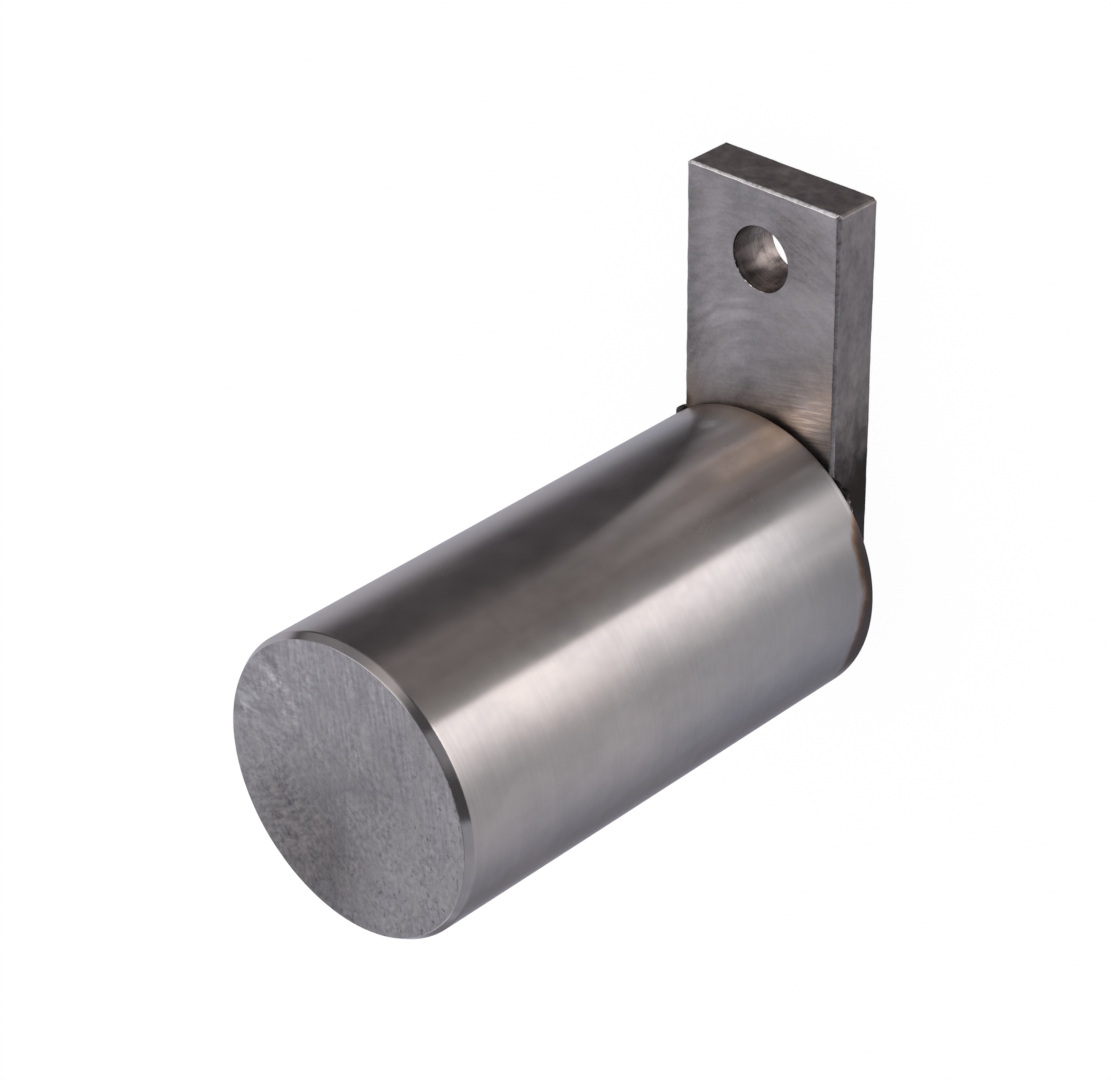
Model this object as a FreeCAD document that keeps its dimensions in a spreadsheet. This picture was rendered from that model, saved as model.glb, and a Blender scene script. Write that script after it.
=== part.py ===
import FreeCAD, Part

# A flag pin: a turned round bar with a drilled flat-bar flag welded across one end.
# The origin is where the pin's axis meets the flag's back face. +Z runs along the
# pin to its free end, and +Y runs along the flag to its bolt hole.
# All sizes are in millimetres and degrees.

import os
import Sketcher
from FreeCAD import Vector

DRIVING_SIZES = [
    ("pin_diameter", 65, "round bar"),
    ("pin_length", 120.5, "from the flag's front face to the pin's free end"),
    ("lead_in_length", 1.8, "chamfer at the free end, measured along the pin"),
    ("lead_in_angle", 30, "chamfer at the free end, from the pin's axis"),
    ("rear_edge_break", 1, "the pin's edge at the flag"),
    ("flag_width", 40, "flat bar"),
    ("flag_thickness", 12, "flat bar"),
    ("flag_length", 100, "flat bar, cut to length"),
    ("flag_rise", 83.5, "from the pin's axis to the flag's outer end"),
    ("flag_edge_break", 0.6, "all the flag's edges"),
    ("hole_diameter", 14.5, "plain hole for a 12 mm bolt"),
    ("hole_edge_distance", 16, "from the hole's centre to the flag's outer end"),
    ("weld_leg", 4, "fillet weld, on the flag's side and on the pin's rear face"),
    ("weld_crown", 0.4, "how far the weld's face bulges"),
    ("weld_overrun", 0.4, "how far the weld's ends reach past the pin's rim"),
]

# Dimensions that follow from the driving ones, as expressions on the sheet
PIN_RADIUS = "Sizes.pin_diameter / 2"
LEAD_IN_DEPTH = "Sizes.lead_in_length * tan(Sizes.lead_in_angle)"
FLAG_HALF_WIDTH = "Sizes.flag_width / 2"
FLAG_LAP = "(Sizes.flag_length - Sizes.flag_rise)"
HOLE_RISE = "Sizes.flag_rise - Sizes.hole_edge_distance"
WELD_FACE_RADIUS = "(Sizes.weld_leg^2 / 2 + Sizes.weld_crown^2) / (2 * Sizes.weld_crown)"
WELD_REACH = f"sqrt(({PIN_RADIUS} + Sizes.weld_overrun)^2 - ({FLAG_HALF_WIDTH})^2)"
WELD_RUN_END = f"({WELD_REACH} - Sizes.weld_leg)"

# How a sketch numbers the points of an edge from 1, and its own axes down from -1
START, END, CENTRE = range(1, 4)
HORIZONTAL_AXIS, VERTICAL_AXIS = range(-1, -3, -1)
SKETCH_ORIGIN = (HORIZONTAL_AXIS, START)

doc = FreeCAD.newDocument("flag_pin")

sheet = doc.addObject("Spreadsheet::Sheet", "Sizes")
for row, (alias, value, meaning) in enumerate(DRIVING_SIZES, start=1):
    sheet.set(f"A{row}", alias)
    sheet.set(f"B{row}", str(value))
    sheet.set(f"C{row}", meaning)
    sheet.setAlias(f"B{row}", alias)
doc.recompute()


def new_body(name):
    """Add an empty body that carries its piece's name."""
    body = doc.addObject("PartDesign::Body", name)
    body.Label = name
    return body


def origin_plane(body, role):
    """Return the body's own origin plane of this role."""
    return next(plane for plane in body.Origin.OriginFeatures if plane.Role == role)


def new_sketch(body, name, role, offset="0"):
    """Add a sketch on an origin plane of the body, moved along the plane's normal."""
    sketch = body.newObject("Sketcher::SketchObject", name)
    sketch.AttachmentSupport = (origin_plane(body, role), [""])
    sketch.MapMode = "FlatFace"
    sketch.setExpression("AttachmentOffset.Base.z", offset)
    return sketch


def constrain(sketch, kind, *geometry):
    """Add a constraint that has no size."""
    sketch.addConstraint(Sketcher.Constraint(kind, *geometry))


def dimension(sketch, kind, *geometry, size):
    """Add a dimension that follows an expression on the sheet."""
    index = sketch.addConstraint(Sketcher.Constraint(kind, *geometry, evaluate(size)))
    sketch.setExpression(f"Constraints[{index}]", size)


def evaluate(expression):
    """Return what an expression on the sheet comes to now."""
    return float(sheet.evalExpression(expression))


def draw_outline(sketch, *corners):
    """Draw straight edges round the corners, joined end to start, in order."""
    edges = []
    for here, there in zip(corners, corners[1:] + corners[:1]):
        ends = Vector(*map(evaluate, here)), Vector(*map(evaluate, there))
        edges.append(sketch.addGeometry(Part.LineSegment(*ends)))
    for edge, following in zip(edges, edges[1:] + edges[:1]):
        constrain(sketch, "Coincident", edge, END, following, START)
    return edges


def add_feature(body, kind, name, **settings):
    """Add a PartDesign feature: text settings that name the sheet are expressions."""
    feature = body.newObject(f"PartDesign::{kind}", name)
    for setting, value in settings.items():
        if isinstance(value, str) and "Sizes." in value:
            feature.setExpression(setting, value)
        else:
            setattr(feature, setting, value)
    return feature


# Pin: a half section of the turned bar, revolved about the pin's axis. It starts at
# the flag's front face.
pin = new_body("pin_shank")
pin.setExpression("Placement.Base.z", "Sizes.flag_thickness")

half_section = new_sketch(pin, "pin_half_section", "XZ_Plane")
rear_face, rear_break, wall, lead_in, free_face, axis = draw_outline(
    half_section,
    ("0", "0"),
    (f"{PIN_RADIUS} - Sizes.rear_edge_break", "0"),
    (PIN_RADIUS, "Sizes.rear_edge_break"),
    (PIN_RADIUS, "Sizes.pin_length - Sizes.lead_in_length"),
    (f"{PIN_RADIUS} - {LEAD_IN_DEPTH}", "Sizes.pin_length"),
    ("0", "Sizes.pin_length"),
)
constrain(half_section, "Coincident", rear_face, START, *SKETCH_ORIGIN)
constrain(half_section, "Horizontal", rear_face)
constrain(half_section, "Horizontal", free_face)
constrain(half_section, "Vertical", wall)
constrain(half_section, "Vertical", axis)
dimension(half_section, "DistanceX", *SKETCH_ORIGIN, wall, START, size=PIN_RADIUS)
dimension(half_section, "DistanceY", axis, END, axis, START, size="Sizes.pin_length")
for direction in ("DistanceX", "DistanceY"):
    dimension(half_section, direction, rear_break, START, rear_break, END, size="Sizes.rear_edge_break")
dimension(half_section, "DistanceX", lead_in, END, lead_in, START, size=LEAD_IN_DEPTH)
dimension(half_section, "DistanceY", lead_in, START, lead_in, END, size="Sizes.lead_in_length")

add_feature(
    pin, "Revolution", "turned_bar",
    Profile=half_section, ReferenceAxis=(half_section, ["V_Axis"]), Angle=360,
)

# Flag: a length of flat bar with its edges broken, then drilled right through. Its
# back face lies on the base plane, and its outer end is up the +Y axis.
flag = new_body("flag_plate")

blank = new_sketch(flag, "flag_outline", "XY_Plane")
lower_end, right_side, outer_end, left_side = draw_outline(
    blank,
    (f"-{FLAG_HALF_WIDTH}", f"-{FLAG_LAP}"),
    (FLAG_HALF_WIDTH, f"-{FLAG_LAP}"),
    (FLAG_HALF_WIDTH, "Sizes.flag_rise"),
    (f"-{FLAG_HALF_WIDTH}", "Sizes.flag_rise"),
)
constrain(blank, "Horizontal", outer_end)
constrain(blank, "Vertical", right_side)
constrain(blank, "Vertical", left_side)
constrain(blank, "Symmetric", lower_end, START, lower_end, END, VERTICAL_AXIS)
dimension(blank, "DistanceX", lower_end, START, lower_end, END, size="Sizes.flag_width")
dimension(blank, "DistanceY", right_side, START, right_side, END, size="Sizes.flag_length")
dimension(blank, "DistanceY", *SKETCH_ORIGIN, outer_end, START, size="Sizes.flag_rise")

flat_bar = add_feature(flag, "Pad", "flat_bar", Profile=blank, Length="Sizes.flag_thickness")
add_feature(
    flag, "Chamfer", "broken_edges",
    Base=(flat_bar, [""]), UseAllEdges=True, Size="Sizes.flag_edge_break",
)

drilling = new_sketch(flag, "hole_circle", "XY_Plane")
hole_centre = Vector(0, evaluate(HOLE_RISE))
rim = drilling.addGeometry(Part.Circle(hole_centre, Vector(0, 0, 1), evaluate("Sizes.hole_diameter / 2")))
constrain(drilling, "PointOnObject", rim, CENTRE, VERTICAL_AXIS)
dimension(drilling, "DistanceY", *SKETCH_ORIGIN, rim, CENTRE, size=HOLE_RISE)
dimension(drilling, "Diameter", rim, size="Sizes.hole_diameter")
add_feature(flag, "Pocket", "bolt_hole", Profile=drilling, Type="ThroughAll", Reversed=True)

# Weld: one fillet bead on the pin's rear face. It runs down one side of the flag from
# the pin's rim, turns the lower corner, crosses the lower end and goes up the other
# side. Its two ends are rounded off where they reach the rim.
weld = new_body("weld_bead")


def new_bead_section(name, role, offset, root_distance, outward):
    """Sketch the weld's section: a leg on the pin, a leg on the flag, a bulging face.

    The root, where the legs meet, is at the flag's front face and at a distance from
    the sketch's vertical axis. outward is +1 or -1, the way that leads off the flag.
    """
    section = new_sketch(weld, name, role, offset)
    height, leg, crown = map(evaluate, ("Sizes.flag_thickness", "Sizes.weld_leg", "Sizes.weld_crown"))
    root = Vector(outward * evaluate(root_distance), height)
    toe_on_pin = root + Vector(outward * leg, 0)
    toe_on_flag = root - Vector(0, leg)
    bulge = (toe_on_pin + toe_on_flag) / 2 + Vector(outward, -1).normalize() * crown

    leg_on_pin = section.addGeometry(Part.LineSegment(toe_on_pin, root))
    leg_on_flag = section.addGeometry(Part.LineSegment(root, toe_on_flag))
    # A sketched arc always runs anticlockwise
    arc_points = (toe_on_flag, bulge, toe_on_pin)[::outward]
    face = section.addGeometry(Part.ArcOfCircle(*arc_points))
    flag_end, pin_end = (START, END)[::outward]

    constrain(section, "Coincident", leg_on_pin, END, leg_on_flag, START)
    constrain(section, "Coincident", leg_on_flag, END, face, flag_end)
    constrain(section, "Coincident", leg_on_pin, START, face, pin_end)
    constrain(section, "Horizontal", leg_on_pin)
    constrain(section, "Vertical", leg_on_flag)
    dimension(section, "Radius", face, size=WELD_FACE_RADIUS)
    dimension(section, "DistanceY", *SKETCH_ORIGIN, leg_on_flag, START, size="Sizes.flag_thickness")
    dimension(section, "DistanceY", leg_on_flag, END, leg_on_flag, START, size="Sizes.weld_leg")
    out_to_root = (SKETCH_ORIGIN, (leg_on_flag, START))[::outward]
    root_to_toe = ((leg_on_pin, END), (leg_on_pin, START))[::outward]
    dimension(section, "DistanceX", *out_to_root[0], *out_to_root[1], size=root_distance)
    dimension(section, "DistanceX", *root_to_toe[0], *root_to_toe[1], size="Sizes.weld_leg")
    return section


lower_section = new_bead_section("lower_section", "YZ_Plane", "0", FLAG_LAP, -1)
side_section = new_bead_section("side_section", "XZ_Plane", FLAG_LAP, FLAG_HALF_WIDTH, 1)
end_section = new_bead_section("end_section", "XZ_Plane", f"-{WELD_RUN_END}", FLAG_HALF_WIDTH, 1)
root_line = "Edge2"

add_feature(
    weld, "Pad", "lower_run",
    Profile=lower_section, SideType="Symmetric", Length="Sizes.flag_width",
)
side_run = add_feature(
    weld, "Pad", "side_run",
    Profile=side_section, Reversed=True, Length=f"{FLAG_LAP} + {WELD_RUN_END}",
)
corner_turn = add_feature(
    weld, "Revolution", "corner_turn",
    Profile=side_section, ReferenceAxis=(side_section, [root_line]), Angle=90,
)
rounded_end = add_feature(
    weld, "Revolution", "rounded_end",
    Profile=end_section, ReferenceAxis=(end_section, [root_line]), Angle=90, Reversed=True,
)
doc.recompute()
other_side = add_feature(
    weld, "Mirrored", "other_side",
    Originals=[side_run, corner_turn, rounded_end], MirrorPlane=(origin_plane(weld, "YZ_Plane"), [""]),
)
weld.Tip = other_side

doc.recompute()

for item in doc.Objects:
    if "Invalid" in item.State or "Error" in item.State:
        raise RuntimeError(f"{item.Label} could not be worked out: {item.State}")
pieces = (pin, flag, weld)
for piece in pieces:
    if piece.Shape.isNull() or not piece.Shape.isValid() or len(piece.Shape.Solids) != 1:
        raise RuntimeError(f"{piece.Label} is not one sound solid")

os.makedirs("parts", exist_ok=True)
for piece in pieces:
    piece.Shape.exportStep(f"parts/{piece.Label}.step")
    print(f"{piece.Label}: {piece.Shape.Volume:.0f} cubic millimetres, {piece.Shape.BoundBox}")
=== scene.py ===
"""A welded flag pin in Blender: a turned steel bar with a drilled flat bar welded across one end.

Metres throughout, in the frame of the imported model: the part rests on the flag's back face with the pin
along +Z, and the flag points along +Y to its bolt hole.
"""

import math

import bpy
import numpy as np
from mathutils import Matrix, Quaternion, Vector


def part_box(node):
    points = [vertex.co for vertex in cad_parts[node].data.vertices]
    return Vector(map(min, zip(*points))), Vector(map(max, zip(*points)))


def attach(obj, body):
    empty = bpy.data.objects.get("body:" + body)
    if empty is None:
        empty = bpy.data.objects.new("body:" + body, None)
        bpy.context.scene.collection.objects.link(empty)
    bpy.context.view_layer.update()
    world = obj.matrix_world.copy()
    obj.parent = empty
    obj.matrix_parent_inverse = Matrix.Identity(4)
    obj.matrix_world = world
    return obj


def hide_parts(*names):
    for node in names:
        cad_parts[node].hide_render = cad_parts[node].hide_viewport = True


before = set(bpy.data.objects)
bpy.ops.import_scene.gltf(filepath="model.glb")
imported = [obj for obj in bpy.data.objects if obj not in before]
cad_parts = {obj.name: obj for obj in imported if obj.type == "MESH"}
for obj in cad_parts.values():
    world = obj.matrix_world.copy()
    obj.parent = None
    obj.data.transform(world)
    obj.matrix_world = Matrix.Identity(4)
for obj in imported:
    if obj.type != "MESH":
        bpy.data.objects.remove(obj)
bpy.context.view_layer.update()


# The pin: bright turned bar, faced at the free end with a 30 degree lead-in for entering its bore.
# The rear rim has only a small edge break, scorched by the heat of the weld behind it.
# It replaces pin_shank, so that its rims are rounded and the lead-in shows a little uneven wear.
pin_low, pin_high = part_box("pin_shank")
PIN_RADIUS = pin_high.x
PIN_REAR = pin_low.z
PIN_END = pin_high.z
LEAD_IN_LENGTH = 0.0018
LEAD_IN_ANGLE = 30
INNER_RIM = PIN_RADIUS - LEAD_IN_LENGTH * math.tan(math.radians(LEAD_IN_ANGLE))
REAR_BREAK = 0.0010
RIM_ROUND = 0.00014
RIM_WEAR = 0.00003
RIM_WEAR_REACH = 0.0012
SHOULDER_ROUND = 0.00032
PROFILE_START = 0.002
PIN_COLUMNS = 960
TURNING_ANISOTROPY = 0.92
ACROSS_THE_MARKS = 0.25
MARK_DEPTH = 0.0000001

TURNED_WARM = (0.505, 0.487, 0.480)
TURNED_COOL = (0.480, 0.485, 0.500)
FACED_GREY = (0.443, 0.442, 0.457)
FACED_BROWN = (0.433, 0.410, 0.402)
BROWN_FILM = (0.400, 0.310, 0.240)
SCORCHED_BROWN = (0.220, 0.130, 0.078)
SCORCHED_BLACK = (0.095, 0.082, 0.082)


def waver(turn, seed, strongest=3, count=9):
    """Smooth random wave round a closed line: a sum of cosines of whole-number frequency, about -1 to 1.

    turn runs from 0 to 1 once round, and strongest is the frequency from which the cosines get weaker."""
    random = np.random.default_rng(seed)
    total = np.zeros_like(turn)
    for step in range(count):
        frequency = strongest + step * strongest
        total += np.cos(2 * np.pi * (frequency * turn + random.random())) / (1 + step)
    return total / 1.6


def skin(name, rows, bands, closed=False, poles=()):
    """A mesh over rows of points, each row a closed loop, as an array of (rows, columns, 3).

    The rows are joined in order, the last to the first where closed, and bands gives each row's material.
    Two poles close the ends with fans of triangles. Where the enclosed volume comes out negative, all the
    faces are turned round, so that they point outwards."""
    count, columns = rows.shape[:2]
    index = np.arange(count * columns).reshape(count, columns)
    lower = index if closed else index[:-1]
    upper = np.roll(index, -1, axis=0) if closed else index[1:]
    quads = np.stack([lower, np.roll(lower, -1, 1), np.roll(upper, -1, 1), upper], -1).reshape(-1, 4)
    materials = np.repeat(bands[:len(lower)], columns)
    points = rows.reshape(-1, 3)
    faces = quads.tolist()
    triangles = [quads[:, [0, 1, 2]], quads[:, [0, 2, 3]]]
    ends = ((index[0], (2, 1, 0), bands[0]), (index[-1], (0, 1, 2), bands[-1]))
    for pole, (rim, order, band) in zip(poles, ends):
        points = np.vstack([points, pole])
        fan = np.stack([rim, np.roll(rim, -1), np.full(columns, len(points) - 1)], -1)[:, order]
        faces += fan.tolist()
        triangles.append(fan)
        materials = np.append(materials, np.full(columns, band))
    corners = points[np.vstack(triangles)]
    volume = np.einsum("ij,ij->i", corners[:, 0], np.cross(corners[:, 1], corners[:, 2])).sum()
    if volume < 0:
        faces = [face[::-1] for face in faces]
    mesh = bpy.data.meshes.new(name)
    mesh.from_pydata(points.tolist(), [], faces)
    mesh.polygons.foreach_set("material_index", materials.astype(np.int32))
    mesh.shade_smooth()
    piece = bpy.data.objects.new(name, mesh)
    bpy.context.scene.collection.objects.link(piece)
    return piece


def rounded_corner(before, corner, after, radius, steps=5):
    """Points that take the corner off a profile: a quadratic curve between its two legs."""
    before, corner, after = (np.array(point, float) for point in (before, corner, after))
    start = corner + (before - corner) / np.linalg.norm(before - corner) * radius
    end = corner + (after - corner) / np.linalg.norm(after - corner) * radius
    share = np.linspace(0, 1, steps)[:, None]
    return (1 - share) ** 2 * start + 2 * share * (1 - share) * corner + share ** 2 * end


def stretch(start, end, steps):
    """Points of a straight run of a profile, without its two ends, closer together near the ends."""
    share = (0.5 - 0.5 * np.cos(np.pi * np.arange(1, steps + 1) / (steps + 1)))[:, None]
    return np.array(start) * (1 - share) + np.array(end) * share


def turned_profile():
    """Radius and height of the pin's outline, from near the axis at the rear to near it at the free end."""
    rear_inner = (PIN_RADIUS - REAR_BREAK, PIN_REAR)
    rear_outer = (PIN_RADIUS, PIN_REAR + REAR_BREAK)
    lead_outer = (PIN_RADIUS, PIN_END - LEAD_IN_LENGTH)
    lead_inner = (INNER_RIM, PIN_END)
    centre_rear = (PROFILE_START, PIN_REAR)
    centre_end = (PROFILE_START, PIN_END)
    return np.vstack([
        [centre_rear],
        stretch(centre_rear, rear_inner, 8),
        rounded_corner(centre_rear, rear_inner, rear_outer, RIM_ROUND),
        stretch(rear_inner, rear_outer, 2),
        rounded_corner(rear_inner, rear_outer, lead_outer, RIM_ROUND),
        stretch(rear_outer, lead_outer, 20),
        rounded_corner(rear_outer, lead_outer, lead_inner, SHOULDER_ROUND, 9),
        stretch(lead_outer, lead_inner, 2),
        rounded_corner(lead_outer, lead_inner, centre_end, RIM_ROUND),
        stretch(lead_inner, centre_end, 20),
        [centre_end],
    ])


def turned_rows():
    """The profile carried round the axis, with the inner rim of the lead-in set back by hundredths of a
    millimetre of wear. The second result is 1 where a row starts a faced band."""
    profile = turned_profile()
    turn = np.arange(PIN_COLUMNS) / PIN_COLUMNS
    radius = np.repeat(profile[:, :1], PIN_COLUMNS, 1)
    height = np.repeat(profile[:, 1:], PIN_COLUMNS, 1)
    off_rim = ((radius - INNER_RIM) ** 2 + (height - PIN_END) ** 2) / RIM_WEAR_REACH ** 2
    radius = radius - np.exp(-off_rim) * RIM_WEAR * (1 + waver(turn, 6, 5))
    angle = 2 * np.pi * turn
    steep = np.abs(np.diff(profile[:, 1])) > 0.6 * np.abs(np.diff(profile[:, 0]))
    faced = np.append(~steep, True).astype(int)
    return np.stack([radius * np.cos(angle), radius * np.sin(angle), height], -1), faced


class Signal:
    """One output of a shader node. Arithmetic on it adds Math nodes, and node() adds any other kind."""

    def __init__(self, tree, output):
        self.tree = tree
        self.output = output

    def node(self, kind, settings, sockets, result=0):
        """Adds a node: its settings first, then its sockets' values and links."""
        made = self.tree.nodes.new(kind)
        for name, value in settings.items():
            setattr(made, name, value)
        for name, value in sockets.items():
            if isinstance(value, Signal):
                self.tree.links.new(value.output, made.inputs[name])
            else:
                made.inputs[name].default_value = value
        return Signal(self.tree, made.outputs[result])

    def math(self, operation, *others):
        """A Math node with this signal in its first socket."""
        sockets = dict(enumerate((self, *others)))
        return self.node("ShaderNodeMath", {"operation": operation}, sockets)

    def vector(self, operation, *others, result=0):
        """A Vector Math node with this signal in its first socket."""
        sockets = dict(enumerate((self, *others)))
        return self.node("ShaderNodeVectorMath", {"operation": operation}, sockets, result)

    def __add__(self, other):
        return self.math("ADD", other)

    def __sub__(self, other):
        return self.math("SUBTRACT", other)

    def __rsub__(self, other):
        return self.node("ShaderNodeMath", {"operation": "SUBTRACT"}, {0: other, 1: self})

    def __mul__(self, other):
        return self.math("MULTIPLY", other)

    __radd__ = __add__
    __rmul__ = __mul__

    def rise(self, low, high, low_value=0.0, high_value=1.0):
        """Goes smoothly from low_value to high_value as this signal goes from low to high."""
        sockets = {"Value": self, "From Min": low, "From Max": high}
        sockets |= {"To Min": low_value, "To Max": high_value}
        return self.node("ShaderNodeMapRange", {"interpolation_type": "SMOOTHSTEP"}, sockets)

    def fall(self, low, high, start=1.0):
        """Goes smoothly from start to 0 as this signal goes from low to high."""
        return self.rise(low, high, start, 0.0)

    def band(self, low, full, fading, high):
        """1 from full to fading, and smoothly down to 0 at low and at high."""
        return self.rise(low, full) * self.fall(fading, high)

    def part(self, name):
        """X, Y or Z of a vector."""
        return self.node("ShaderNodeSeparateXYZ", {}, {"Vector": self}, name)

    def toward(self, x, y):
        """X and Y of a position, weighted and added up: how far it lies in the direction (x, y)."""
        return self.vector("DOT_PRODUCT", (x, y, 0), result="Value")

    def away(self, x, y):
        """Distance of a position from a point, in X and Y only."""
        return self.vector("MULTIPLY", (1, 1, 0)).vector("DISTANCE", (x, y, 0), result="Value")

    def stain(self, x, y, inner, outer):
        """1 within the inner distance of a point in X and Y, fading to 0 at the outer distance."""
        return self.away(x, y).fall(inner, outer)

    def turned(self, degrees):
        """A vector turned about Z."""
        sockets = {"Vector": self, "Rotation": (0.0, 0.0, math.radians(degrees))}
        return self.node("ShaderNodeMapping", {}, sockets)

    def grain(self, x, y, z, low=0.35, high=0.65, detail=2.0):
        """Noise with x, y and z cells to the metre, its contrast raised to go from 0 at low to 1 at high."""
        cells = self.vector("MULTIPLY", (x, y, z))
        sockets = {"Vector": cells, "Scale": 1.0, "Detail": detail, "Roughness": 0.55}
        return self.node("ShaderNodeTexNoise", {}, sockets).rise(low, high)

    def tint(self, below, above):
        """A colour between two others: below where this signal is 0, above where it is 1."""
        sockets = {0: self, 6: solid(below), 7: solid(above)}
        return self.node("ShaderNodeMix", {"data_type": "RGBA"}, sockets, 2)

    def shade(self, factor):
        """A colour with all its channels multiplied by a factor."""
        return self.node("ShaderNodeVectorMath", {"operation": "SCALE"}, {0: self, "Scale": factor})


def solid(colour):
    """A colour for a socket: a signal as it is, and red, green and blue with alpha 1."""
    return colour if isinstance(colour, Signal) else (*colour, 1.0)


def steel(name, finish, anisotropy=0.0):
    """finish returns base colour, roughness and height in metres. With anisotropy, the reflections are drawn
    out along the axis, because the turning marks run round it."""
    material = bpy.data.materials.new(name)
    material.use_nodes = True
    tree = material.node_tree
    shader = tree.nodes["Principled BSDF"]
    shader.inputs["Metallic"].default_value = 1.0
    if anisotropy:
        shader.inputs["Anisotropic"].default_value = anisotropy
        shader.inputs["Anisotropic Rotation"].default_value = ACROSS_THE_MARKS
    position = Signal(tree, tree.nodes.new("ShaderNodeTexCoord").outputs["Object"])
    colour, roughness, height = finish(position)
    relief = position.node("ShaderNodeBump", {}, {"Strength": 1.0, "Distance": 1.0, "Height": height})
    for socket, signal in (("Base Color", colour), ("Roughness", roughness), ("Normal", relief)):
        tree.links.new(signal.output, shader.inputs[socket])
    return material


def scorched(position, from_rim, clean):
    """The clean colour with the weld's scorch on it: black with a brown fringe at the sides of the rear rim,
    over the weld, and only a faint brown fringe on top. from_rim is the ragged height above that rim."""
    across = position.part("X")
    along = position.part("Y")
    beside = (across.math("ABSOLUTE") - along * 0.30).rise(0.0188, 0.0262)
    depth = beside * (0.0038 + along.fall(-0.012, 0.002, 0.0020))
    faint = beside.rise(0.0, 0.3) * along.rise(-0.0185, -0.0130, 0.20, 1.0)
    brown = from_rim.fall(depth - 0.0012, depth + 0.0010) * faint
    black = from_rim.fall(depth - 0.0022, depth - 0.0004) * faint
    fringe = from_rim.fall(0.0012, 0.0028, 0.30) * along.rise(0.0260, 0.0290) * across.fall(0.0, 0.008)
    fringed = fringe.tint(clean, SCORCHED_BROWN)
    return black.tint(brown.tint(fringed, SCORCHED_BROWN), SCORCHED_BLACK)


def turned_finish(position):
    """Fine turning marks round the bar under cloudy handling stains, warmer towards the free end.

    Near the flag the top is smoked and dulled in patches under a brown film, and carries a painted
    reflection of the flag's bright lower right as a warm streak. The rear rim is scorched by the weld, with
    a painted highlight along its right-hand side."""
    across = position.part("X")
    along = position.part("Y")
    height = position.part("Z")
    from_rear = height - PIN_REAR
    from_rim = from_rear - position.grain(160, 160, 320, 0.3, 0.7, 3) * 0.0011
    marks = position.grain(40, 40, 2600, 0.35, 0.65, 1)
    bands = position.grain(20, 20, 1000)
    clouds = position.grain(42, 42, 30, 0.32, 0.68, 4)
    mottle = position.grain(260, 260, 190, 0.32, 0.68, 4)
    streaky = position.grain(420, 420, 40, 0.35, 0.65, 3)
    warmth = height.rise(0.030, 0.095) * 0.5 + clouds * height.rise(0.020, 0.060, 0.15, 0.50)
    # Painted reflection of the flag's bright lower right: a warm, tan-filmed streak at about 74 degrees, low
    # down by the flag.
    flag_reflection = position.toward(0.276, 0.961).rise(0.03205, 0.0325) * height.fall(0.026, 0.060)
    smoked = position.toward(0.170, 0.985).rise(0.0280, 0.0316) * height.fall(0.026, 0.054)
    browned = along.rise(0.0250, 0.0290) * across.rise(-0.0040, 0.0030)
    behind = position.toward(-0.3, 1).rise(0.0265, 0.0330)
    # Painted highlight: a thin bright line along the rear rim's edge break on the right-hand side.
    rim_highlight = from_rear.band(0.0012, 0.0016, 0.0017, 0.0022) * across.rise(0.016, 0.025)
    bright_spot = position.vector("DISTANCE", (-0.0045, 0.0322, 0.0225), result="Value").fall(0.0006, 0.0032)
    upper_right = height.rise(0.030, 0.056, 0.34, 0.10) + height.fall(0.016, 0.028, 0.18)
    dulled = position.toward(0.766, 0.643).rise(0.0319, 0.0324) * height.fall(0.020, 0.050, 0.24)
    dulled = dulled + position.toward(1, -0.2).rise(0.0165, 0.0215) * height.fall(0.010, 0.045, 0.13)
    dulled = dulled + position.toward(0.423, 0.906).rise(0.0322, 0.0324) * upper_right
    dulled = dulled + position.toward(0.131, 0.991).rise(0.0322, 0.0324) * height.fall(0.038, 0.048, 0.20)
    # Painted reflection of the flag, as above: the same streak is lightened further below about 40 mm.
    lightened = height.fall(0.016, 0.022, 0.26) + height.fall(0.033, 0.040, 0.26)
    lightened = lightened * position.toward(0.250, 0.968).rise(0.0322, 0.03245) * (0.7 + mottle * 0.6)
    tone = 0.880 + marks * 0.030 + bands * 0.015 + clouds * 0.16 + mottle * 0.07
    tone = (tone + flag_reflection * 0.50 + bright_spot * 0.60) * (1 - smoked * (0.26 + streaky * 0.12))
    tone = tone * (1 + rim_highlight * 0.26) * (1 - dulled) * (1 + browned * 0.07)
    bare = warmth.tint(TURNED_COOL, TURNED_WARM).shade(tone)
    film = behind * from_rim.fall(0.0030, 0.0085, 0.60) + flag_reflection * (0.20 + clouds * 0.35)
    film = film + browned * height.rise(0.035, 0.070, 0.26, 0.12)
    colour = scorched(position, from_rim, film.tint(bare, BROWN_FILM).shade(1 + lightened))
    bevel = height.rise(PIN_END - LEAD_IN_LENGTH - 0.0001, PIN_END - LEAD_IN_LENGTH)
    hazed = height.fall(0.018, 0.038, 0.12) * position.toward(1, 0.7).rise(0.028, 0.034)
    roughness = (0.235 + hazed + clouds * 0.025 + mottle * 0.015) * (1 - bevel * 0.45)
    return colour, roughness, bands * MARK_DEPTH


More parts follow.
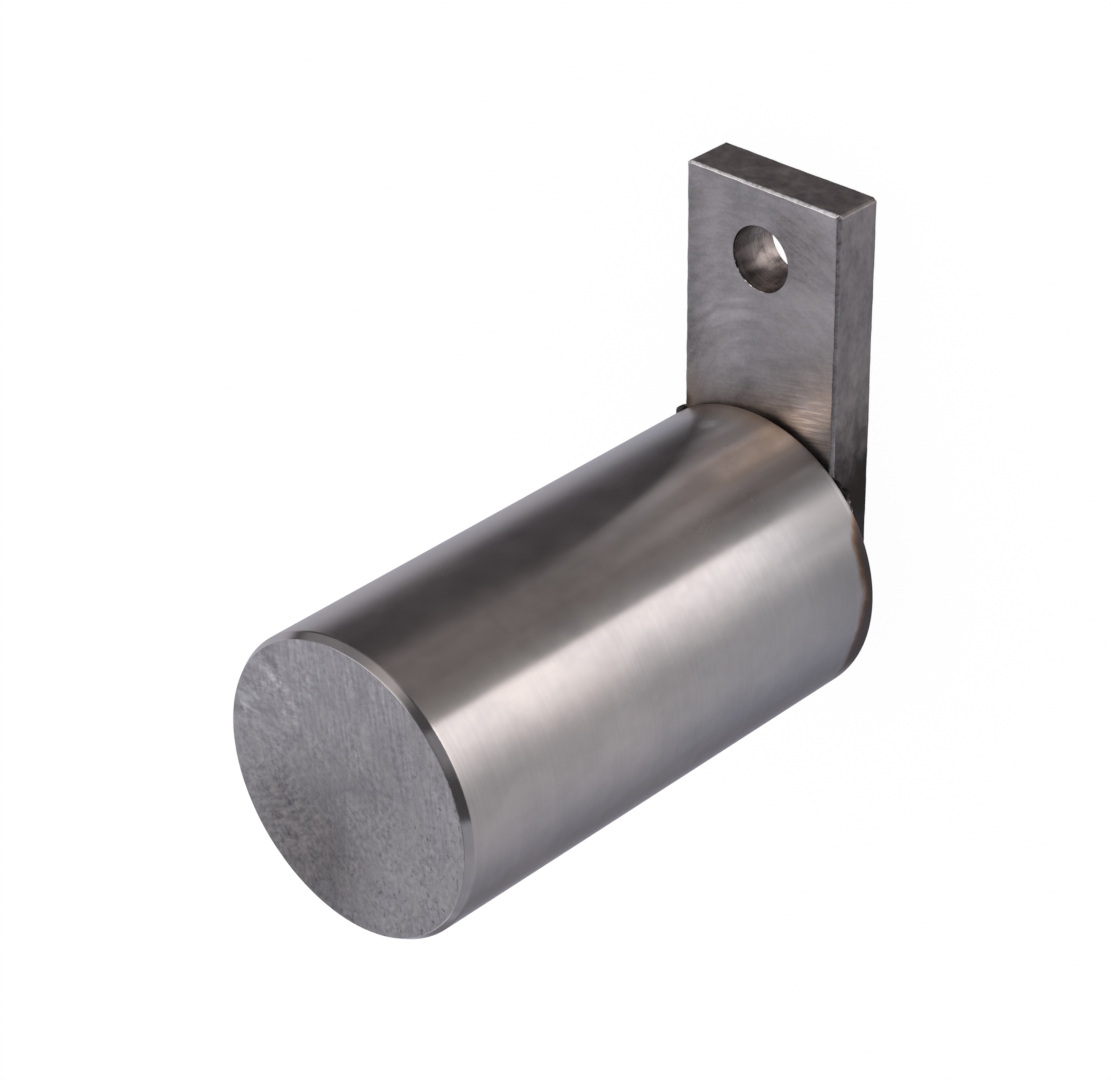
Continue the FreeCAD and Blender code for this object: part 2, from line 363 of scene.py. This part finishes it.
def faced_finish(position):
    """The faced end: fine strokes and dark flecks over brownish mottle. There are bright brushed patches on
    the left with slanting strokes below them, and small pits on the right, with a broken dark line painted
    along the rim there as the shadow of its burrs."""
    strokes = position.turned(-6).grain(1250, 110, 1, 0.32, 0.68, 1)
    flecks = position.turned(-5).grain(950, 800, 1, 0.30, 0.70, 3)
    grit = position.grain(2600, 2600, 1, 0.30, 0.70)
    mottle = position.grain(300, 240, 1, 0.30, 0.70, 4)
    blotches = position.grain(95, 85, 1, 0.32, 0.68, 3)
    patchy = position.grain(130, 110, 1, 0.30, 0.70)
    slanting = position.turned(52).grain(900, 300, 1, 0.32, 0.68, 3)
    brushed = position.turned(103).grain(420, 170, 1, 0.38, 0.64, 2)
    scuffs = position.turned(-11).grain(480, 1300, 1, 0.40, 0.70, 3)
    pits = position.grain(1000, 620, 1, 0.60, 0.70)
    upper_left = position.toward(-0.6, 1).rise(-0.004, 0.028)
    lower_left = position.stain(-0.012, -0.018, 0.003, 0.023)
    lower_edge = position.toward(-0.3, 1).fall(-0.036, -0.018)
    right = position.toward(1, -0.4).rise(0.004, 0.024)
    striped = position.toward(0.3, 1).rise(0.002, 0.014)
    scuffed = position.stain(-0.024, 0.014, 0.007, 0.019)
    slanted = position.stain(-0.019, -0.012, 0.006, 0.017)
    bright_spot = position.stain(-0.0268, 0.0095, 0.0008, 0.0040)
    dim = position.stain(-0.0205, -0.0080, 0.0010, 0.0080)
    smudge = position.stain(-0.0203, 0.0218, 0.0012, 0.0042)
    # Painted shadow of burrs: a broken dark line along the inner rim on the right.
    notch_shadow = position.away(0, 0).rise(INNER_RIM - 0.0005, INNER_RIM - 0.0002) * flecks.rise(0.2, 0.6)
    notch_shadow = notch_shadow * position.toward(1, -1).rise(0.007, 0.014) * position.part("Y").rise(0.002, 0.008)
    scratch = position.toward(0.231, 1).band(0.0006, 0.0011, 0.0011, 0.0016)
    scratch = scratch * position.stain(-0.0268, 0.0073, 0.0007, 0.0024)
    tone = 0.61 + upper_left * 0.22 - lower_left * 0.26 - lower_edge * 0.13 + right * 0.15
    tone = tone + mottle * 0.20 + blotches * 0.10 + (grit - 0.5) * 0.12
    tone = tone + (flecks - 0.5) * (0.10 + patchy * 0.26)
    tone = tone + strokes * (0.04 + striped * (0.06 + patchy * 0.20))
    tone = tone + slanting * slanted * 0.24 + bright_spot * 0.22 - smudge * 0.17
    tone = tone + scuffed * (brushed * 0.26 + scuffs * (0.06 + patchy * 0.30) - 0.14)
    tone = tone * (1 - notch_shadow * 0.6) - dim * 0.13
    tone = tone + scratch * 0.40 - pits * (right + lower_left * 0.6) * 0.32
    brown = (lower_left * 0.6 + blotches * 0.3 + mottle * 0.2) * (1 - upper_left * 0.6)
    colour = brown.tint(FACED_GREY, FACED_BROWN).shade(tone)
    relief = strokes * 0.0000030 + mottle * 0.000008 + flecks * 0.0000025 - pits * right * 0.000015
    return colour, 0.36 + mottle * 0.12, relief


pin_rows, pin_bands = turned_rows()
pin = skin("turned_pin", pin_rows, pin_bands, poles=((0, 0, PIN_REAR), (0, 0, PIN_END)))
pin.data.materials.append(steel("turned bar steel", turned_finish, TURNING_ANISOTROPY))
pin.data.materials.append(steel("faced bar end", faced_finish))
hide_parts("pin_shank")
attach(pin, "root")


# The flag: cold drawn flat bar cut to length, with its faces cleaned by a sanding disc.
# Its edges are broken by hand, so the chamfers vary in width, and its bolt hole is a degree off square.
# It replaces flag_plate. The mesh is one loop of profile, out from the hole and back, carried round it.
flag_low, flag_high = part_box("flag_plate")
HOLE_RADIUS = 0.00713
HOLE_FROM_END = 0.016
HOLE_CENTRE = (0.0, flag_high.y - HOLE_FROM_END)
HOLE_BREAK = 0.00016
HOLE_RIM = 0.0002
HOLE_SURROUND = 0.003
HOLE_LEAN = 0.00030
EDGE_BREAK = 0.0006
EDGE_SOFTNESS = 0.00006
EDGE_FLAT = 0.0003
EDGE_WIDENING = 0.25
EDGE_WIDENS_FROM = 0.030
EDGE_WIDENS_OVER = 0.050
CORNER_CUT = 0.0008
CORNER_SLANT = 1.10
CORNER_FULLNESS = 1.15
OUTLINE_STEP = 0.00035
DEEPEST_INSET = 0.0030
SANDED, DRAWN, FILED, DRILLED = range(4)

SANDED_GREY = (0.452, 0.440, 0.452)
SANDED_BROWN = (0.450, 0.412, 0.395)
TANNED_BROWN = (0.345, 0.272, 0.213)
SCORCHED_GOLD = (0.120, 0.062, 0.025)
DRAWN_GREY = (0.290, 0.280, 0.292)
DRAWN_BROWN = (0.305, 0.278, 0.266)
SOOT = (0.024, 0.018, 0.015)
FILED_DULL = (0.450, 0.440, 0.440)
FILED_BRIGHT = (0.600, 0.590, 0.590)
DRILLED_GREY = (0.285, 0.256, 0.246)
DRILLED_BROWN = (0.215, 0.195, 0.185)
BURR_GLINT = (0.900, 0.800, 0.760)


def flag_outline(inset):
    """Points round the flag's outline moved in by inset: four cut corners with straight runs between.

    Each run and each corner keeps its number of points, so a column is the same place at every inset."""
    corner = max(CORNER_CUT - inset, 0.00005)
    across, along = corner * CORNER_SLANT, corner / CORNER_SLANT
    right, top = flag_high.x - inset - across, flag_high.y - inset - along
    left, bottom = flag_low.x + inset + across, flag_low.y + inset + along
    centres = np.array([(right, bottom), (right, top), (left, top), (left, bottom)])
    corners = []
    for centre, start in zip(centres, (-90, 0, 90, 180)):
        turn = np.radians(start + np.array([0, 8, 20, 45, 70, 82, 90]))
        size = np.abs(np.cos(turn)) ** CORNER_FULLNESS + np.abs(np.sin(turn)) ** CORNER_FULLNESS
        size = size[:, None] ** (1 / CORNER_FULLNESS)
        corners.append(centre + np.stack([across * np.cos(turn), along * np.sin(turn)], -1) / size)
    pieces = []
    for place, side in enumerate((flag_high.y - flag_low.y, flag_high.x - flag_low.x) * 2):
        steps = int(side / OUTLINE_STEP)
        share = np.arange(1, steps)[:, None] / steps
        run_start, run_end = corners[place][-1], corners[(place + 1) % 4][0]
        pieces += [corners[place], run_start * (1 - share) + run_end * share]
    return np.vstack(pieces)


def flag_rows():
    """The closed profile at every column: hole, front face, front chamfer, side, back chamfer, back face.

    The chamfers waver, and the front's right-hand one widens towards the top. The second result is the
    finish of the band that each row starts."""
    outer = flag_outline(0.0)
    inward = (flag_outline(DEEPEST_INSET) - outer) / DEEPEST_INSET
    around = (outer - HOLE_CENTRE) / np.linalg.norm(outer - HOLE_CENTRE, axis=1)[:, None]
    turn = np.arange(len(outer)) / len(outer)
    flat = np.ones(len(outer))
    on_right = outer[:, 0] > flag_high.x - CORNER_CUT / 2
    upward = np.clip((outer[:, 1] - EDGE_WIDENS_FROM) / EDGE_WIDENS_OVER, 0, 1)
    wider = EDGE_WIDENING * upward * on_right
    front = EDGE_BREAK * (1 + 0.12 * waver(turn, 11, 5) + 0.09 * waver(turn, 12, 40) + wider)
    back = EDGE_BREAK * (1 + 0.14 * waver(turn, 21, 5) + 0.06 * waver(turn, 22, 40))
    low, high = flag_low.z, flag_high.z
    rows, finishes = [], []

    def hole(finish, radius, z):
        lean = np.array([HOLE_LEAN * (0.7 - (z - low) / (high - low)), 0.0])
        rows.append(np.column_stack([HOLE_CENTRE + lean + around * radius, flat * z]))
        finishes.append(finish)

    def edge(finish, inset, z):
        rows.append(np.column_stack([outer + inward * (flat * inset)[:, None], flat * z]))
        finishes.append(finish)

    wall = np.linspace(low + HOLE_BREAK * 3, high - HOLE_BREAK * 3, 7)
    for z in (low + HOLE_BREAK, *wall, high - HOLE_BREAK):
        hole(DRILLED, HOLE_RADIUS, z)
    hole(DRILLED, HOLE_RADIUS + HOLE_BREAK * 0.35, high - HOLE_BREAK * 0.35)
    for extra in (HOLE_BREAK, HOLE_RIM, HOLE_SURROUND):
        hole(SANDED, HOLE_RADIUS + extra, high)
    for inset in (DEEPEST_INSET, front + EDGE_FLAT, front + EDGE_SOFTNESS):
        edge(SANDED, inset, high)
    for share in (0.95, 0.65, 0.35, 0.05):
        edge(FILED, front * share, high - front * (1 - share))
    for z in (high - front - EDGE_SOFTNESS, high - front - EDGE_FLAT, low * 0.35 + high * 0.65):
        edge(DRAWN, 0.0, z)
    for z in (low * 0.65 + high * 0.35, low + back + EDGE_FLAT, low + back + EDGE_SOFTNESS):
        edge(DRAWN, 0.0, z)
    for share in (0.05, 0.35, 0.65, 0.95):
        edge(FILED, back * share, low + back * (1 - share))
    for inset in (back + EDGE_SOFTNESS, back + EDGE_FLAT, DEEPEST_INSET):
        edge(SANDED, inset, low)
    for extra in (HOLE_SURROUND, HOLE_RIM, HOLE_BREAK):
        hole(SANDED, HOLE_RADIUS + extra, low)
    hole(DRILLED, HOLE_RADIUS + HOLE_BREAK * 0.35, low + HOLE_BREAK * 0.35)
    return np.stack(rows), np.array(finishes)


def swirl(position, x, y, across, along, low, high):
    """Noise drawn out along arcs round a point: across and along are its cells to the metre."""
    offset = position.vector("SUBTRACT", (x, y, 0.0))
    distance = offset.vector("LENGTH", result="Value")
    sockets = {0: distance * across, 1: offset.part("X") * along, 2: offset.part("Y") * along}
    return offset.node("ShaderNodeCombineXYZ", {}, sockets).grain(1, 1, 1, low, high, 3)


def sanded_finish(position):
    """A face cleaned with a disc: arcs of fine scratches under cloudy stains, darker at the left edge,
    lighter at the right, and browner and brushed across near the weld.

    It is tan round a gold scorch at the left edge by the pin. Along the pin's rim it is painted black with
    the shade of the groove and the pin's dark reflection, and just beyond it painted lighter with the pin's
    reflection."""
    across = position.part("X")
    along = position.part("Y")
    haze = swirl(position, 0.003, 0.026, 700, 240, 0.30, 0.70)
    arcs = swirl(position, 0.004, 0.030, 430, 30, 0.46, 0.68)
    arcs = arcs * position.stain(-0.010, 0.054, 0.004, 0.016)
    loops = swirl(position, -0.0075, 0.0385, 900, 110, 0.45, 0.68)
    loops = loops * position.stain(-0.0075, 0.041, 0.002, 0.007)
    falling = position.turned(22).grain(320, 1500, 1, 0.38, 0.68, 3)
    brushed = position.turned(-13).grain(110, 1700, 1, 0.40, 0.66)
    clouds = position.turned(25).grain(95, 60, 1, 0.30, 0.70, 5)
    speckle = position.grain(1300, 1500, 1, 0.30, 0.70)
    near_weld = position.toward(0.55, -1).rise(-0.047, -0.034)
    low_right = position.stain(0.017, 0.036, 0.003, 0.015)
    upper_right = position.stain(0.0115, 0.072, 0.004, 0.012)
    low_left = position.stain(-0.015, 0.041, 0.003, 0.012)
    # Painted reflection of the pin: a light spot on the face just beyond its rim.
    bright_spot = position.stain(0.001, 0.0390, 0.002, 0.007)
    lightened = position.stain(0.0145, 0.0358, 0.0020, 0.0075)
    left_edge = across.fall(-0.0195, -0.0120) * along.fall(0.076, 0.082)
    right_side = across.rise(0.004, 0.019) * along.rise(0.036, 0.050, 0.4, 1.0)
    # Painted shade: black along the pin's rim, for the groove's shade and the pin's dark reflection in the
    # face.
    rim_shade = position.away(0, 0).fall(PIN_RADIUS + 0.0001, PIN_RADIUS + 0.0028) * across.rise(-0.004, 0.008)
    tone = 0.77 + haze * 0.18 + clouds * 0.26 + speckle * 0.12 + arcs * 0.24 + loops * 0.14
    tone = tone + brushed * (0.04 + near_weld * 0.10 + low_right * 0.34)
    tone = tone - near_weld * 0.34 + low_right * 0.52
    tone = tone - upper_right * (0.23 + falling * 0.20) - left_edge * 0.32 - low_left * 0.18
    tone = tone + right_side * 0.32 + bright_spot * 0.22 + lightened * (0.17 + brushed * 0.38)
    brown = near_weld * 0.55 + low_right * 0.25 + clouds * 0.20 + upper_right * 0.2 + low_left * 0.3
    brown = brown - lightened * 0.70
    bare = brown.tint(SANDED_GREY, SANDED_BROWN).shade(tone * (1 - rim_shade * 0.74))
    tan = position.stain(-0.0195, 0.0295, 0.0020, 0.0110) * 0.55
    gold = position.stain(-0.0206, 0.0280, 0.0012, 0.0034)
    colour = gold.tint(tan.tint(bare, TANNED_BROWN), SCORCHED_GOLD)
    relief = (arcs + loops) * 0.0000040 + haze * 0.0000030 + brushed * 0.0000025 + speckle * 0.0000010
    return colour, 0.29 + haze * 0.06 + clouds * 0.05, relief


def drawn_finish(position):
    """The bar's drawn sides and its cut end: dull grey and mottled, black with soot by the weld.

    The cut end is paler than the sides, and the cut corner between them is duller."""
    streaks = position.grain(500, 70, 1100, 0.30, 0.70, 2)
    mottle = position.grain(340, 240, 420, 0.30, 0.70, 5)
    clouds = position.grain(110, 60, 160, 0.30, 0.70, 3)
    flecks = position.grain(1000, 700, 1100, 0.30, 0.70)
    along = position.part("Y")
    cut = along.rise(flag_high.y - CORNER_CUT, flag_high.y - CORNER_CUT / 2)
    corner = cut * position.part("X").rise(flag_high.x - CORNER_CUT * 1.15, flag_high.x - CORNER_CUT)
    from_weld = along + position.part("Z") * 0.2 + (mottle - 0.5) * 0.005
    tone = 0.52 + streaks * 0.04 + mottle * 0.27 + clouds * 0.24 + flecks * 0.13
    tone = tone * (1 + cut * 0.95 - corner * (1.02 + flecks * 0.35) + along.rise(0.055, 0.080) * 0.10)
    tone = tone * from_weld.rise(0.018, 0.047, 0.15, 1.0)
    sooty = from_weld.fall(0.0195, 0.030, 0.85) * along.rise(0.010, 0.014)
    brown = clouds * 0.4 + cut * 0.4 - corner * 0.2 + along.fall(0.022, 0.058, 0.75)
    colour = sooty.tint(brown.tint(DRAWN_GREY, DRAWN_BROWN).shade(tone), SOOT)
    return colour, 0.36 + mottle * 0.10, mottle * 0.000010 + flecks * 0.000003


def filed_finish(position):
    """Filed edges: bright, with short dark chatter across the edge, brightest along the cut end."""
    chatter = position.grain(1100, 1100, 1100, 0.35, 0.65, 3)
    patches = position.grain(260, 260, 260, 0.35, 0.65)
    along = position.part("Y")
    at_end = along.rise(flag_high.y - 0.0010, flag_high.y - 0.0006)
    on_side = position.part("X").rise(flag_high.x - 0.0010, flag_high.x - 0.0007)
    on_side = on_side * along.rise(0.025, 0.045, 0.5, 1.0) * (1 - at_end)
    tone = (0.74 + chatter * 0.28 + at_end * 0.30) * (1 - on_side * 0.28)
    return patches.tint(FILED_DULL, FILED_BRIGHT).shade(tone), 0.26 + chatter * 0.10, chatter * 0.000012


def drilled_finish(position):
    """The drilled bore: rings left by the drill lips and brown patches, dark towards the top and the left,
    lighter towards the back. On the lower left of the front rim a few burr specks are painted near white,
    as glints."""
    rings = position.grain(120, 120, 2600, 0.35, 0.65)
    patches = position.grain(420, 420, 300, 0.38, 0.62, 4)
    burr_glints = position.grain(1500, 1500, 300, 0.52, 0.60)
    across = position.part("X")
    along = position.part("Y") - HOLE_CENTRE[1]
    depth = flag_high.z - position.part("Z")
    rim = depth.fall(HOLE_BREAK * 0.8, HOLE_BREAK)
    deep = depth.rise(0.0015, 0.0085)
    upper = along.rise(-0.001, 0.005)
    lower = along.fall(-0.006, -0.002)
    lower_left = (across * 0.6 + along * 0.8).fall(-0.0058, -0.0050)
    bottom = along.fall(-0.0070, -0.0050) * across.rise(-0.003, 0.003, 0.6, 0.1)
    shadowed = position.stain(-0.0055, 0.0628, 0.0012, 0.0038) * (1 - deep)
    tone = 0.60 + rings * 0.30 + patches * 0.42 + lower * 0.22
    tone = tone - upper * (0.45 + patches * 0.20 - deep * 0.40)
    tone = tone * across.rise(-0.0075, 0.0020, 0.60, 0.95) * (1 + deep * 0.9 + bottom)
    tone = tone * (1 - shadowed * 0.66)
    bare = patches.tint(DRILLED_BROWN, DRILLED_GREY).shade(tone)
    # Burrs at the front rim, painted near white as glints.
    colour = (rim * lower_left * burr_glints).tint(bare, BURR_GLINT)
    return colour, 0.27 + patches * 0.10, rings * 0.000012


flag_points, flag_bands = flag_rows()
flag = skin("drilled_flag", flag_points, flag_bands, closed=True)
flag.data.materials.append(steel("sanded flat bar", sanded_finish))
flag.data.materials.append(steel("drawn flat bar", drawn_finish))
flag.data.materials.append(steel("filed edge", filed_finish))
flag.data.materials.append(steel("drilled bore", drilled_finish))
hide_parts("flag_plate")
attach(flag, "root")


# The weld: one fillet bead round the flag's two sides and lower end, joining it to the pin's rear face.
# It was run by hand: the legs waver, the face is rippled and crowned, and both ends roll out to the rim.
# It replaces weld_bead and is left as welded, dark with scale, with a few bright crests at its right end.
WELD_LEG = 0.0040
WELD_CROWN = 0.0005
WELD_LEFT_END = 0.0262
WELD_RIGHT_END = 0.0240
WELD_STEP = 0.00022
WELD_RIPPLE = 0.0013
WELD_ROOT = 0.0004
WELD_NOSE = 0.0018
WELD_RIM_GAP = 0.0006
WELD_RIM_FROM = 0.010
WELD_RIM_LEG = 0.0016
WELD_THIN_FROM = 0.018
WELD_THIN_LEG = 0.0023
WELD_BULGE = 0.0012
WELD_BULGE_CENTRE = 0.0172
WELD_BULGE_WIDTH = 0.0018

WELD_SCALE = (0.055, 0.050, 0.048)
WELD_BROWN = (0.160, 0.130, 0.115)
WELD_BRIGHT = (0.620, 0.610, 0.600)


def weld_path():
    """Points and outward directions down the flag's left side, along its end and up its right side.

    At the two corners the point stands still while the direction turns through a right angle."""
    left, right, bottom = flag_low.x, flag_high.x, flag_low.y
    down = np.arange(WELD_LEFT_END, bottom, -WELD_STEP)
    across = np.arange(left, right, WELD_STEP)
    up = np.arange(bottom, WELD_RIGHT_END, WELD_STEP)
    turn = np.radians(np.linspace(0, 90, 12))
    x = np.concatenate([0 * down + left, 0 * turn + left, across, 0 * turn + right, 0 * up + right])
    y = np.concatenate([down, 0 * turn + bottom, 0 * across + bottom, 0 * turn + bottom, up])
    angle = np.concatenate([
        0 * down + np.pi, np.pi + turn, 0 * across + 1.5 * np.pi, 1.5 * np.pi + turn, 0 * up + 2 * np.pi,
    ])
    return x, y, np.cos(angle), np.sin(angle)


def weld_rows():
    """A triangular section with a crowned face, carried along the path and closed behind the root.

    reach is its leg on the pin's face and drop its leg on the flag, and both shrink to a round nose at the
    ends. The crown has ripples a little over a millimetre apart. The bead is thinner at the top of the left
    side. At the top of the right side it bulges out along the rim, with a lumpy crown and a short drop."""
    x, y, out_x, out_y = weld_path()
    run = np.arange(len(x)) / len(x)
    travelled = np.arange(len(x)) * WELD_STEP
    from_end = np.minimum(travelled, travelled[-1] - travelled)
    nose = np.sqrt(np.clip(1 - (1 - np.clip(from_end / WELD_NOSE, 0, 1)) ** 2, 0.003, 1))
    on_right = out_x > 0.99
    by_rim = on_right & (y > WELD_RIM_FROM)
    thin = (out_x < -0.99) & (y > WELD_THIN_FROM)
    to_rim = np.sqrt(np.clip(PIN_RADIUS ** 2 - y ** 2, 0, None)) - flag_high.x - WELD_RIM_GAP
    bulge = WELD_BULGE * np.exp(-((y - WELD_BULGE_CENTRE) / WELD_BULGE_WIDTH) ** 2) * on_right
    reach = WELD_LEG * (1 + 0.06 * waver(run, 31, 4)) + bulge
    reach = np.where(by_rim, np.minimum(reach, np.maximum(to_rim, WELD_RIM_LEG)), reach)
    reach = np.where(thin, np.minimum(reach, WELD_THIN_LEG), reach) * nose
    drop = WELD_LEG * (1 + 0.07 * waver(run, 32, 5)) * nose
    drop = np.where(thin, np.minimum(drop, WELD_THIN_LEG), drop)
    drop = np.where(on_right, drop * np.interp(y, (0.0170, 0.0230), (1.0, 0.35)), drop)
    beat = 2 * np.pi * (travelled / WELD_RIPPLE + 0.5 * waver(run, 33, 6))
    lumps = 0.00050 * waver(run, 35, 60) * on_right * np.clip((y - 0.012) / 0.004, 0, 1)
    crown = (WELD_CROWN + 0.00013 * np.cos(beat) + 0.0001 * waver(run, 34, 40) + lumps) * nose
    share = np.linspace(0, 1, 14)
    arch = np.sin(np.pi * share)
    outward = reach[:, None] * (1 - share) + crown[:, None] * arch
    downward = drop[:, None] * share + crown[:, None] * arch
    root = 0 * reach - WELD_ROOT
    outward = np.hstack([outward, np.stack([root, root, reach * 0.8], -1)])
    downward = np.hstack([downward, np.stack([drop * 0.8, root, root], -1)])
    return np.stack([
        x[:, None] + out_x[:, None] * outward,
        y[:, None] + out_y[:, None] * outward,
        PIN_REAR - downward,
    ], -1)


def welded_finish(position):
    """Dark scale over the bead, with a few crests scoured to bright metal towards the right-hand end, and
    near black at the top of that end: soot, with painted shadow of the hollow by the pin's rim.
    """
    scale = position.grain(900, 900, 900, 0.30, 0.70, 3)
    patches = position.grain(650, 650, 650, 0.52, 0.60)
    low_crest = position.stain(0.0247, 0.0176, 0.0007, 0.0017)
    high_crest = position.stain(0.0236, 0.0196, 0.0004, 0.0013)
    browned = position.stain(0.0240, 0.0185, 0.0020, 0.0035) * patches.rise(0.2, 0.6, 1.0, 0.4)
    bright = patches * (0.05 + low_crest + high_crest * 0.6)
    # Near black at the top of the right-hand end: soot, with painted shadow of the hollow between the flag's
    # edge and the pin's rim.
    black = position.part("Y").rise(0.0200, 0.0212) * position.part("X").rise(0.0, 0.001)
    tone = (0.8 + scale * 0.4) * (1 - black * 0.7)
    colour = bright.tint(browned.tint(WELD_SCALE, WELD_BROWN), WELD_BRIGHT).shade(tone)
    return colour, bright.rise(0, 1, 0.50, 0.26), scale * 0.00004


weld_points = weld_rows()
weld_noses = (weld_points[0].mean(0), weld_points[-1].mean(0))
weld = skin("fillet_weld", weld_points, np.zeros(len(weld_points)), poles=weld_noses)
weld.data.materials.append(steel("weld metal", welded_finish))
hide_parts("weld_bead")
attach(weld, "root")


# The floor, the light and the camera: a pale seamless floor in a white studio of soft panels.
# The camera sees only white behind the part, and the metal mirrors the panels and dark cards about it.
# Even white light from all round gives the floor its faint shadow.
FLOOR_HALF = 4.0
FLOOR_DROP = 0.0001
FLOOR_SHADOW_SHARE = 0.03
CAMERA_AIM = (-0.00377, 0.02580, 0.06929)
CAMERA_AZIMUTH = 41.455
CAMERA_ELEVATION = 38.560
CAMERA_DISTANCE = 0.7433
CAMERA_ROLL = -119.536
CAMERA_LENS = 121.55

WHITE = (1.0, 1.0, 1.0)
ROOM = (0.260, 0.232, 0.226)
TABLE = (0.322, 0.335, 0.384)
STRIP = (1.060, 0.950, 0.892)
SPILL = (0.190, 0.190, 0.190)
COOL_CAST = (-0.018, -0.006, 0.030)
WARM_CAST = (0.013, 0.000, -0.030)
CARD = (-0.185, -0.167, -0.156)
BACK = (0.300, 0.310, 0.380)
NIGHT = (0.095, 0.088, 0.095)
OPEN_SIDE = (0.335, 0.335, 0.375)
SLIT = (0.245, 0.236, 0.256)
SIDE_PANEL = (0.420, 0.385, 0.375)
FAR_WALL = (0.200, 0.190, 0.195)
REAR_WALL = (0.560, 0.550, 0.600)
CEILING = (0.360, 0.345, 0.360)
CEILING_CARD = (-0.216, -0.207, -0.216)
TOP_PANEL = (0.950, 0.910, 0.910)

floor_mesh = bpy.data.meshes.new("floor")
floor_corners = [
    (x * FLOOR_HALF, y * FLOOR_HALF, -FLOOR_DROP) for x, y in ((-1, -1), (1, -1), (1, 1), (-1, 1))
]
floor_mesh.from_pydata(floor_corners, [], [(0, 1, 2, 3)])
floor = bpy.data.objects.new("floor", floor_mesh)
bpy.context.scene.collection.objects.link(floor)
floor.visible_glossy = False
floor_paint = bpy.data.materials.new("pale floor")
floor_paint.use_nodes = True
floor_tree = floor_paint.node_tree
floor_tree.nodes.clear()
floor_output = floor_tree.nodes.new("ShaderNodeOutputMaterial")
floor_glow = floor_tree.nodes.new("ShaderNodeEmission")
floor_matt = floor_tree.nodes.new("ShaderNodeBsdfDiffuse")
floor_matt.inputs["Color"].default_value = solid(WHITE)
floor_mix = floor_tree.nodes.new("ShaderNodeMixShader")
floor_mix.inputs["Fac"].default_value = FLOOR_SHADOW_SHARE
floor_tree.links.new(floor_glow.outputs[0], floor_mix.inputs[1])
floor_tree.links.new(floor_matt.outputs[0], floor_mix.inputs[2])
floor_tree.links.new(floor_mix.outputs[0], floor_output.inputs["Surface"])
floor_mesh.materials.append(floor_paint)


def facing(azimuth, centre, half, soft):
    """1 within half a panel's width of its centre, fading to 0 over its soft edge, all in degrees."""
    off_centre = (azimuth - centre) * math.radians(1)
    full, faded = math.radians(half), math.radians(half + soft)
    return off_centre.math("COSINE").rise(math.cos(faded), math.cos(full))


def lit_by(base, panels):
    """Light of an even base colour with panels added to it, each a mask and a colour.

    A panel with a negative colour is a dark card, which takes light away."""
    light = base
    for mask, colour in panels:
        light = mask.vector("MULTIPLY_ADD", colour, light)
    return light


def studio_light(direction):
    """The studio's light in a direction: panels low about the table, walls at eye level and a ceiling."""
    azimuth = direction.part("Y").math("ARCTAN2", direction.part("X")) * math.degrees(1)
    height = direction.part("Z")
    low = lit_by(ROOM, (
        (azimuth.band(-100, -28, 48, 52), TABLE),
        (azimuth.band(48, 52, 52, 72), SPILL),
        (azimuth.band(-6, 44, 50, 51.5) * height.rise(-0.52, -0.28, 0.86, 2.78), STRIP),
        (facing(azimuth, -93, 28, 18), COOL_CAST),
        (facing(azimuth, -5, 15, 28), WARM_CAST),
        (azimuth.band(92, 120, 155, 172), CARD),
        (facing(azimuth, 206.5, 23, 24), BACK),
    ))
    walls = lit_by(NIGHT, (
        (facing(azimuth, -75, 58, 5), OPEN_SIDE),
        (azimuth.band(10, 31, 44, 51), SLIT),
        (azimuth.band(70, 88, 98, 118), SIDE_PANEL),
        (azimuth.band(100, 118, 153, 166), FAR_WALL),
        (facing(azimuth, 222, 48, 10), REAR_WALL),
    ))
    above = lit_by(CEILING, (
        (facing(azimuth, 10, 58, 20), CEILING_CARD),
        (facing(azimuth, 116, 31, 22), TOP_PANEL),
    ))
    near_top_panel = facing(azimuth, 112, 40, 20)
    into_above = near_top_panel * height.rise(0.40, 0.50) + (1 - near_top_panel) * height.rise(0.42, 0.80)
    upper = into_above.tint(walls, above)
    return height.rise(-0.16, -0.02).tint(low, upper)


world = bpy.data.worlds.new("studio")
bpy.context.scene.world = world
world.use_nodes = True
world.cycles.sampling_method = "NONE"
world_tree = world.node_tree
backdrop = world_tree.nodes["Background"]
direction = Signal(world_tree, world_tree.nodes.new("ShaderNodeTexCoord").outputs["Generated"])
light_path = world_tree.nodes.new("ShaderNodeLightPath")
seen_by_metal = Signal(world_tree, light_path.outputs["Is Glossy Ray"])
seen_by_camera = Signal(world_tree, light_path.outputs["Is Camera Ray"])
surroundings = seen_by_metal.tint(WHITE, studio_light(direction))
world_tree.links.new(seen_by_camera.tint(surroundings, WHITE).output, backdrop.inputs["Color"])

camera_data = bpy.data.cameras.new("camera")
camera_data.lens = CAMERA_LENS
camera_data.sensor_width = 36.0
camera_data.clip_end = 20.0
camera = bpy.data.objects.new("camera", camera_data)
bpy.context.scene.collection.objects.link(camera)
azimuth, elevation = math.radians(CAMERA_AZIMUTH), math.radians(CAMERA_ELEVATION)
level = math.cos(elevation)
outward = Vector((math.cos(azimuth) * level, math.sin(azimuth) * level, math.sin(elevation)))
camera.location = Vector(CAMERA_AIM) + outward * CAMERA_DISTANCE
camera.rotation_mode = "QUATERNION"
facing_part = (-outward).to_track_quat("-Z", "Y")
camera.rotation_quaternion = facing_part @ Quaternion((0, 0, 1), math.radians(CAMERA_ROLL))
bpy.context.scene.camera = camera
bpy.context.scene.view_settings.view_transform = "Standard"
